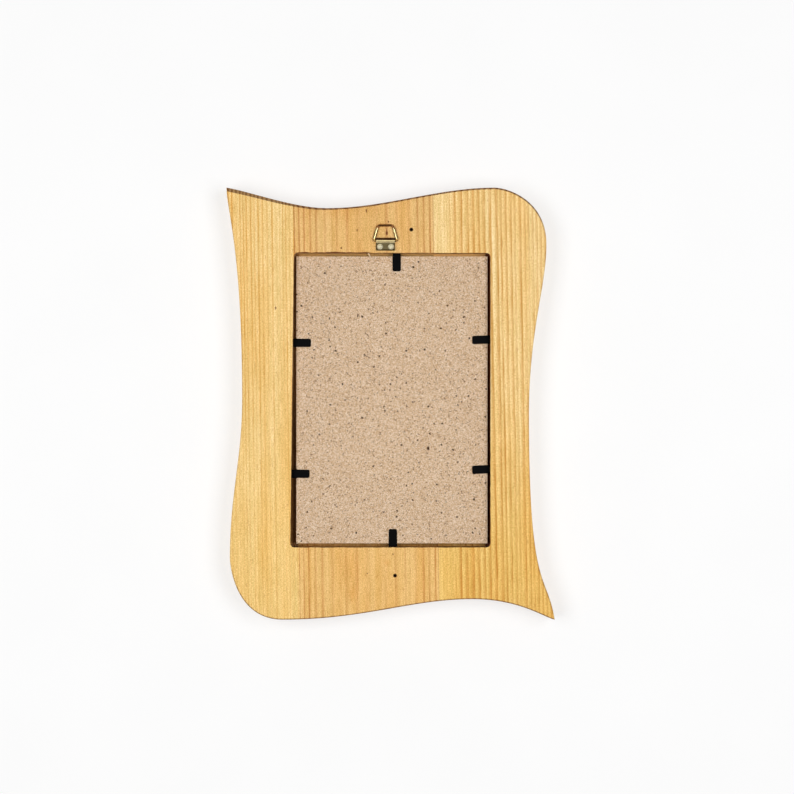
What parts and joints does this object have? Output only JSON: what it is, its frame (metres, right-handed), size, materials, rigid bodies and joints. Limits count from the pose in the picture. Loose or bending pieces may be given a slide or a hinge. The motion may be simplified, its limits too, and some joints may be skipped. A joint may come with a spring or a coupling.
{
  "type": "picture frame",
  "caption": "Wavy pine picture frame seen from its back, with a routed rebate, a backing board held by bendable steel points, and a strap hanger with a swinging wire ring.",
  "frame": {"origin": "on the front face, below the middle of the outline's width and height, with the frame lying face down", "axes": "+X to the right and +Y to the top edge as seen from the back, +Z out of the back"},
  "size_m": [0.171, 0.225, 0.0206],
  "materials": {
    "pale_pine": "bare, sanded",
    "warm_pine": "bare, sanded",
    "striped_pine": "bare, sanded",
    "hardboard": "matt, fibrous",
    "paper": "matt",
    "glass": "polished",
    "black_steel": "satin black",
    "bronze": "dull bronze",
    "brass": "bright",
    "nickel": "bright"
  },
  "bodies": {
    "frame": {"left_stave": "pale_pine", "top_rail": "warm_pine", "bottom_rail": "warm_pine", "right_stave": "striped_pine", "glass_pane": "glass", "picture_insert": "paper", "backing_board": "hardboard", "hanger_strap": "bronze", "hanger_screw_left": "nickel", "hanger_screw_right": "nickel", "point_shank_top": "black_steel", "point_shank_bottom": "black_steel", "point_shank_left_upper": "black_steel", "point_shank_left_lower": "black_steel", "point_shank_right_upper": "black_steel", "point_shank_right_lower": "black_steel"},
    "ring": {"hanger_ring": "brass"},
    "leaf_top": {"point_leaf_top": "black_steel"},
    "leaf_bottom": {"point_leaf_bottom": "black_steel"},
    "leaf_left_upper": {"point_leaf_left_upper": "black_steel"},
    "leaf_left_lower": {"point_leaf_left_lower": "black_steel"},
    "leaf_right_upper": {"point_leaf_right_upper": "black_steel"},
    "leaf_right_lower": {"point_leaf_right_lower": "black_steel"}
  },
  "joints": [
    {"name": "ring_swing", "type": "hinge", "parent": "frame", "child": "ring", "pos_m": [-0.00265, 0.08485, 0.0193], "axis": [1, 0, 0], "range_deg": [0, 150]},
    {"name": "bend_top", "type": "hinge", "parent": "frame", "child": "leaf_top", "pos_m": [0.0032, 0.07785, 0.01355], "axis": [-1, 0, 0], "range_deg": [0, 90]},
    {"name": "bend_bottom", "type": "hinge", "parent": "frame", "child": "leaf_bottom", "pos_m": [0.0012, -0.07425, 0.01355], "axis": [1, 0, 0], "range_deg": [0, 90]},
    {"name": "bend_left_upper", "type": "hinge", "parent": "frame", "child": "leaf_left_upper", "pos_m": [-0.05035, 0.03175, 0.01355], "axis": [0, -1, 0], "range_deg": [0, 90]},
    {"name": "bend_left_lower", "type": "hinge", "parent": "frame", "child": "leaf_left_lower", "pos_m": [-0.05114, -0.03665, 0.01355], "axis": [0, -1, 0], "range_deg": [0, 90]},
    {"name": "bend_right_upper", "type": "hinge", "parent": "frame", "child": "leaf_right_upper", "pos_m": [0.0514, 0.03348, 0.01355], "axis": [-0.0314, 0.9995, 0], "range_deg": [0, 90]},
    {"name": "bend_right_lower", "type": "hinge", "parent": "frame", "child": "leaf_right_lower", "pos_m": [0.0514, -0.03423, 0.01355], "axis": [-0.0471, 0.9989, 0], "range_deg": [0, 90]}
  ]
}
